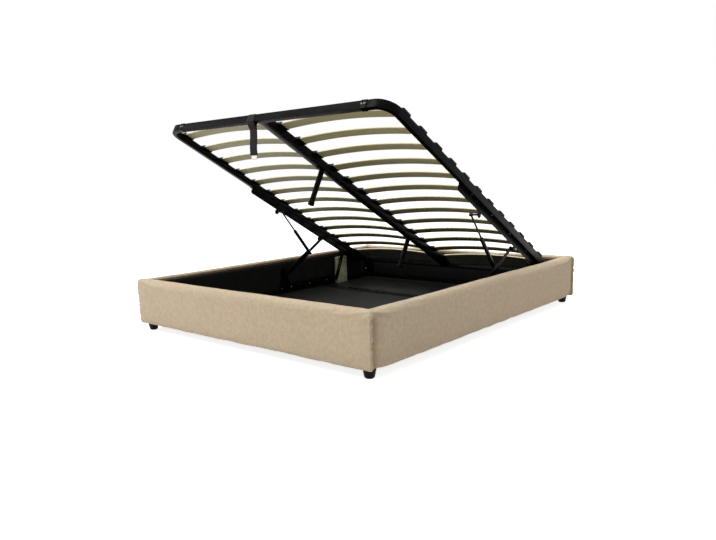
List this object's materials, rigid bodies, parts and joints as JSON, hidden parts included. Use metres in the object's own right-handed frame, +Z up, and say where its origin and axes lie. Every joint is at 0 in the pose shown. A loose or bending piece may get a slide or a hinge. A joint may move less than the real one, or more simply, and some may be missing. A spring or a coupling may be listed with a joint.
{
  "type": "ottoman storage bed",
  "caption": "Low upholstered storage bed base with a black-lined box under a slatted steel lid that swings up at the foot end on gas struts.",
  "frame": {"origin": "on the floor under the middle of the base", "axes": "+Z up, +Y from the foot end towards the head end, +X to the right as seen from the foot end; the foot end is at -Y"},
  "size_m": [1.72, 2.12, 1.1534],
  "materials": {
    "upholstery": "short looped beige weave",
    "rail_timber": "sawn, hidden",
    "lining": "black non-woven lining",
    "floor_board": "black faced board",
    "block_timber": "planed, unvarnished",
    "foot_plastic": "black moulded",
    "black_steel": "black powder coat, semi gloss",
    "fasteners": "black zinc",
    "strut_paint": "black gloss enamel",
    "strut_rod_steel": "ground and hardened",
    "slat_birch": "lacquered layered birch",
    "holder_plastic": "black moulded",
    "webbing": "black woven webbing"
  },
  "bodies": {
    "base": {"foot_rail_board": "rail_timber", "head_rail_board": "rail_timber", "left_rail_board": "rail_timber", "right_rail_board": "rail_timber", "foot_rail_cover": "upholstery", "head_rail_cover": "upholstery", "left_rail_cover": "upholstery", "right_rail_cover": "upholstery", "storage_lining": "lining", "floor_ledges": "black_steel", "front_floor_bearer": "black_steel", "rear_floor_bearer": "black_steel", "front_floor_panel": "floor_board", "middle_floor_panel": "floor_board", "rear_floor_panel": "floor_board", "corner_feet": "foot_plastic", "centre_feet": "foot_plastic", "corner_brackets": "black_steel", "left_mechanism_block": "block_timber", "right_mechanism_block": "block_timber", "left_base_plate": "black_steel", "right_base_plate": "black_steel", "frame_screws": "fasteners"},
    "lift_arms": {"left_lift_arm": "black_steel", "right_lift_arm": "black_steel"},
    "lid": {"lid_left_rail": "black_steel", "lid_right_rail": "black_steel", "lid_foot_bar": "black_steel", "lid_head_bar": "black_steel", "lid_centre_rail": "black_steel", "lid_left_angle": "black_steel", "lid_right_angle": "black_steel", "lid_bolts": "fasteners", "support_legs": "black_steel", "left_slat_holders": "holder_plastic", "right_slat_holders": "holder_plastic", "centre_slat_holders": "holder_plastic", "slat_row_01": "slat_birch", "slat_row_02": "slat_birch", "slat_row_03": "slat_birch", "slat_row_04": "slat_birch", "slat_row_05": "slat_birch", "slat_row_06": "slat_birch", "slat_row_07": "slat_birch", "slat_row_08": "slat_birch", "slat_row_09": "slat_birch", "slat_row_10": "slat_birch", "slat_row_11": "slat_birch", "slat_row_12": "slat_birch", "slat_row_13": "slat_birch"},
    "rear_links": {"left_rear_link": "black_steel", "right_rear_link": "black_steel"},
    "strut_cylinders": {"left_strut_cylinder": "strut_paint", "right_strut_cylinder": "strut_paint"},
    "strut_rods": {"left_strut_rod": "strut_rod_steel", "right_strut_rod": "strut_rod_steel"},
    "strap": {"pull_strap": "webbing"}
  },
  "joints": [
    {"name": "lid_lift", "type": "hinge", "parent": "base", "child": "lift_arms", "pos_m": [0, 0.05002, 0.21154], "axis": [1, 0, 0], "range_deg": [-28.76, 0], "stiffness_Nm_per_rad": 120, "springref_deg": 114.59},
    {"name": "lid_tilt", "type": "hinge", "parent": "lift_arms", "child": "lid", "pos_m": [0, 0.38952, 0.40766], "axis": [1, 0, 0], "range_deg": [0, 57.27]},
    {"name": "rear_link_swing", "type": "hinge", "parent": "base", "child": "rear_links", "pos_m": [0, 0.5404, 0.1], "axis": [1, 0, 0], "range_deg": [-29.22, 0]},
    {"name": "strut_swing", "type": "hinge", "parent": "lift_arms", "child": "strut_cylinders", "pos_m": [0, 0.23792, 0.32009], "axis": [1, 0, 0], "range_deg": [0, 78.9]},
    {"name": "strut_slide", "type": "slide", "parent": "strut_cylinders", "child": "strut_rods", "axis": [0, -0.6444, 0.7647], "range_m": [-0.11082, 0]},
    {"name": "strap_swing", "type": "hinge", "parent": "lid", "child": "strap", "pos_m": [0, -0.80102, 1.12803], "axis": [1, 0, 0], "range_deg": [-28.5, 0]}
  ],
  "couplings": [
    {"joint": "lid_tilt", "follows": "lid_lift", "ratio": -1.9904},
    {"joint": "rear_link_swing", "follows": "lid_lift", "ratio": 1.0156},
    {"joint": "strut_swing", "follows": "lid_lift", "ratio": -2.7419},
    {"joint": "strut_slide", "follows": "lid_lift", "m_per_rad": 0.22067},
    {"joint": "strap_swing", "follows": "lid_lift", "ratio": 0.99037}
  ]
}
